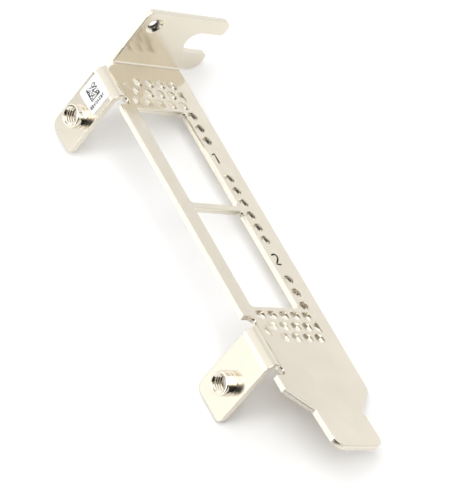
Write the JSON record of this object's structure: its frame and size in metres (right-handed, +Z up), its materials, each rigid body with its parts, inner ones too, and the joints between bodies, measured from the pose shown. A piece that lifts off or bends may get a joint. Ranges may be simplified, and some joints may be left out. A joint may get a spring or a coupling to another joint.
{
  "type": "pci slot cover bracket",
  "caption": "Low-profile expansion-slot cover bracket: folded steel plate with port windows, hexagonal vents, tapped mounting tabs and a slotted screw tab.",
  "frame": {"origin": "on the table under the middle of the bracket, which lies as it rests: on the lower mounting tab's end, the shoulder of the plate and the screw tab's corner", "axes": "+Z up from the table, +Y along the plate towards the screw tab, +X across the plate towards the edge that lies on the table"},
  "size_m": [0.0324, 0.0792, 0.0186],
  "materials": {
    "nickel_plated_steel": "semi-gloss nickel plating, warm grey",
    "label_paper": "matte white"
  },
  "bodies": {
    "root": {"bracket": "nickel_plated_steel", "label": "label_paper"}
  },
  "joints": []
}
